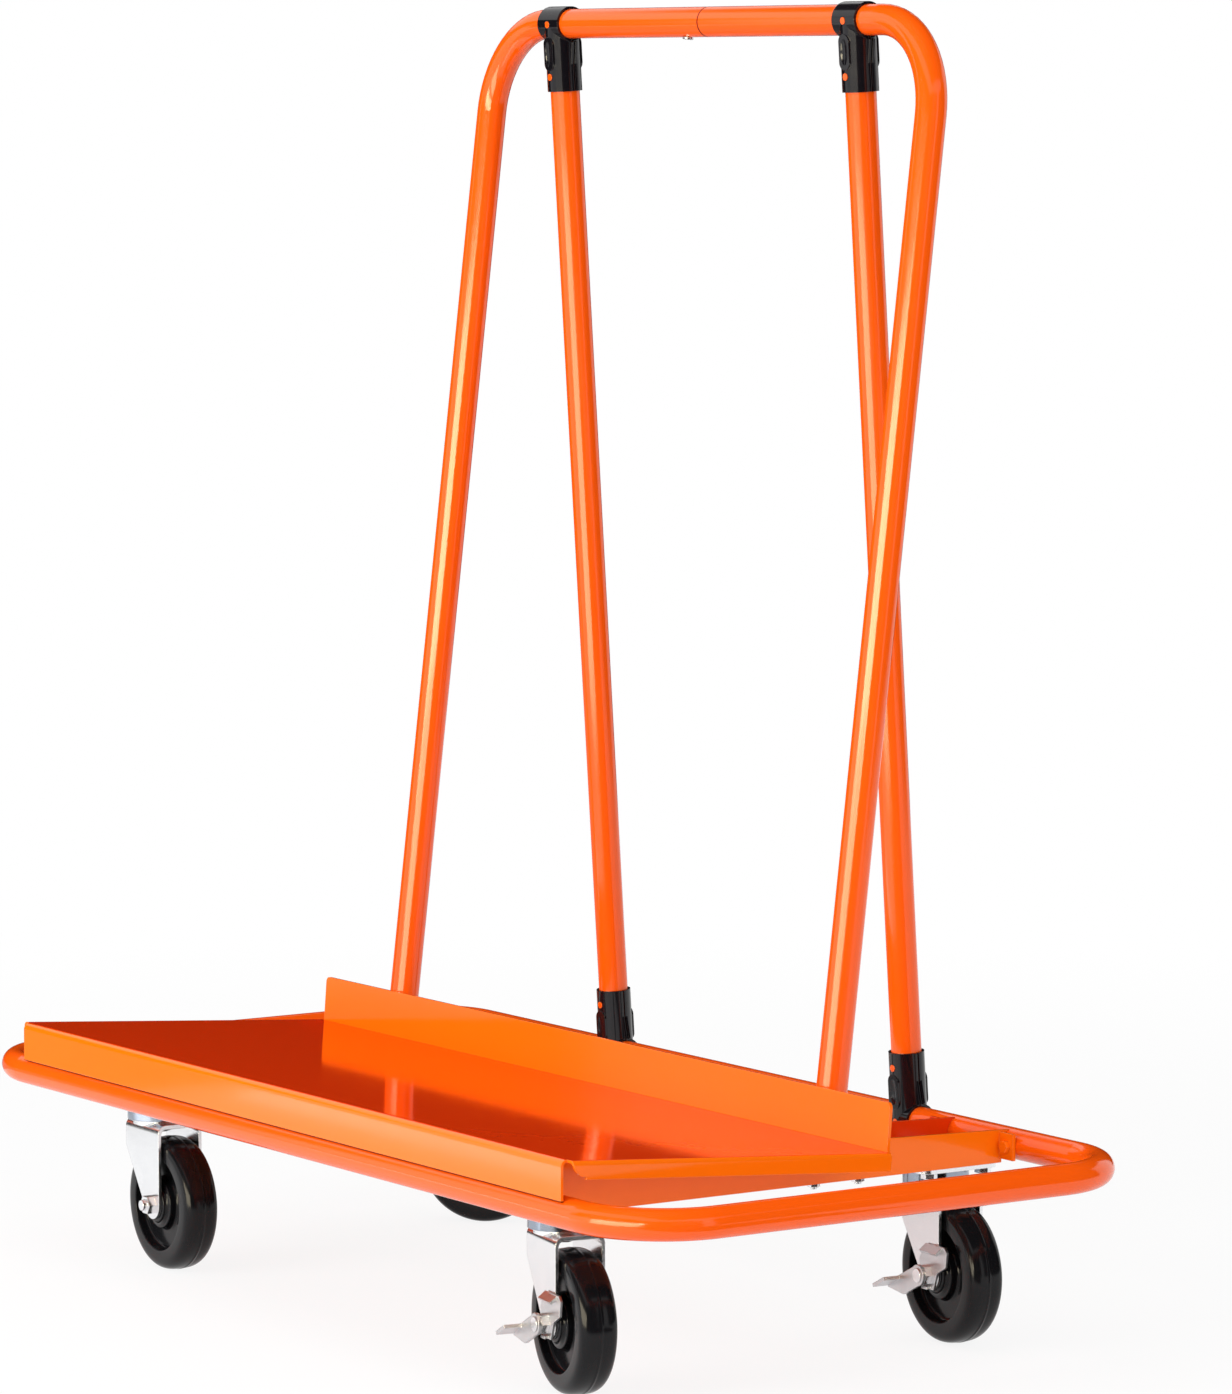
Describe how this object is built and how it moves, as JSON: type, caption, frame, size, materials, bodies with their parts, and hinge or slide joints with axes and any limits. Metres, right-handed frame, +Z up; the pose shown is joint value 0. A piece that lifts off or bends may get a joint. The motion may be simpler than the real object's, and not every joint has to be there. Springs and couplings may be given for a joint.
{
  "type": "drywall cart",
  "caption": "Push cart for wallboard sheets: a tube loop on swivel casters, a sloping sheet deck with a back stop, and a leaning tube A-frame that the sheets rest against.",
  "frame": {"origin": "on the floor under the middle of the cart's outline", "axes": "+X along the cart to the end with the braked casters, +Y to the side of the struts, +Z up"},
  "size_m": [1.15, 0.5581, 1.1925],
  "materials": {
    "orange_paint": "glossy orange powder coat",
    "black_enamel": "glossy black enamel",
    "zinc_plate": "bright zinc plate",
    "wheel_black": "smooth moulded black"
  },
  "bodies": {
    "frame": {"base_rail": "orange_paint", "deck_tray": "orange_paint", "back_stop": "orange_paint", "cross_beam_left_outer": "orange_paint", "cross_beam_left_inner": "orange_paint", "cross_beam_right_inner": "orange_paint", "cross_beam_right_outer": "orange_paint", "upright_left": "orange_paint", "upright_right": "orange_paint", "leg_foot_left": "orange_paint", "leg_foot_right": "orange_paint", "strut_left": "orange_paint", "strut_right": "orange_paint", "clamp_rivets": "orange_paint", "beam_screws": "orange_paint", "clamp_bottom_left_front": "black_enamel", "clamp_bottom_left_rear": "black_enamel", "clamp_bottom_right_front": "black_enamel", "clamp_bottom_right_rear": "black_enamel", "clamp_top_left_front": "black_enamel", "clamp_top_left_rear": "black_enamel", "clamp_top_right_front": "black_enamel", "clamp_top_right_rear": "black_enamel", "rail_sleeve": "zinc_plate", "rail_sleeve_screw": "zinc_plate", "foot_bolts": "zinc_plate", "leg_cross_bolts": "zinc_plate", "caster_plate_front_left": "zinc_plate", "caster_plate_front_right": "zinc_plate", "caster_plate_rear_left": "zinc_plate", "caster_plate_rear_right": "zinc_plate", "swivel_races": "zinc_plate", "swivel_balls": "zinc_plate", "kingpins": "zinc_plate", "caster_bolts": "zinc_plate", "caster_nuts": "zinc_plate"},
    "caster_front_left": {"fork_front_left": "zinc_plate", "axle_front_left": "zinc_plate", "wheel_bush_front_left": "zinc_plate"},
    "wheel_front_left": {"wheel_front_left": "wheel_black"},
    "caster_front_right": {"fork_front_right": "zinc_plate", "axle_front_right": "zinc_plate", "wheel_bush_front_right": "zinc_plate", "brake_plate_front_right": "zinc_plate"},
    "wheel_front_right": {"wheel_front_right": "wheel_black"},
    "lever_front_right": {"brake_lever_front_right": "zinc_plate"},
    "caster_rear_left": {"fork_rear_left": "zinc_plate", "axle_rear_left": "zinc_plate", "wheel_bush_rear_left": "zinc_plate"},
    "wheel_rear_left": {"wheel_rear_left": "wheel_black"},
    "caster_rear_right": {"fork_rear_right": "zinc_plate", "axle_rear_right": "zinc_plate", "wheel_bush_rear_right": "zinc_plate", "brake_plate_rear_right": "zinc_plate"},
    "wheel_rear_right": {"wheel_rear_right": "wheel_black"},
    "lever_rear_right": {"brake_lever_rear_right": "zinc_plate"}
  },
  "joints": [
    {"name": "swivel_front_left", "type": "hinge", "parent": "frame", "child": "caster_front_left", "pos_m": [-0.346, -0.19648, 0.15], "axis": [0, 0, 1], "continuous": true},
    {"name": "spin_front_left", "type": "hinge", "parent": "caster_front_left", "child": "wheel_front_left", "pos_m": [-0.31802, -0.1976, 0.0635], "axis": [0.0401, 0.9992, 0], "continuous": true},
    {"name": "swivel_front_right", "type": "hinge", "parent": "frame", "child": "caster_front_right", "pos_m": [0.346, -0.19648, 0.15], "axis": [0, 0, 1], "continuous": true},
    {"name": "spin_front_right", "type": "hinge", "parent": "caster_front_right", "child": "wheel_front_right", "pos_m": [0.37344, -0.20206, 0.0635], "axis": [0.1994, 0.9799, 0], "continuous": true},
    {"name": "brake_front_right", "type": "hinge", "parent": "caster_front_right", "child": "lever_front_right", "pos_m": [0.37344, -0.20206, 0.0635], "axis": [-0.1994, -0.9799, 0], "range_deg": [0, 20]},
    {"name": "swivel_rear_left", "type": "hinge", "parent": "frame", "child": "caster_rear_left", "pos_m": [-0.346, 0.20553, 0.15], "axis": [0, 0, 1], "continuous": true},
    {"name": "spin_rear_left", "type": "hinge", "parent": "caster_rear_left", "child": "wheel_rear_left", "pos_m": [-0.36474, 0.18472, 0.0635], "axis": [0.7431, -0.6691, 0], "continuous": true},
    {"name": "swivel_rear_right", "type": "hinge", "parent": "frame", "child": "caster_rear_right", "pos_m": [0.346, 0.20553, 0.15], "axis": [0, 0, 1], "continuous": true},
    {"name": "spin_rear_right", "type": "hinge", "parent": "caster_rear_right", "child": "wheel_rear_right", "pos_m": [0.3739, 0.20318, 0.0635], "axis": [0.0837, 0.9965, 0], "continuous": true},
    {"name": "brake_rear_right", "type": "hinge", "parent": "caster_rear_right", "child": "lever_rear_right", "pos_m": [0.3739, 0.20318, 0.0635], "axis": [-0.0837, -0.9965, 0], "range_deg": [0, 20]}
  ]
}
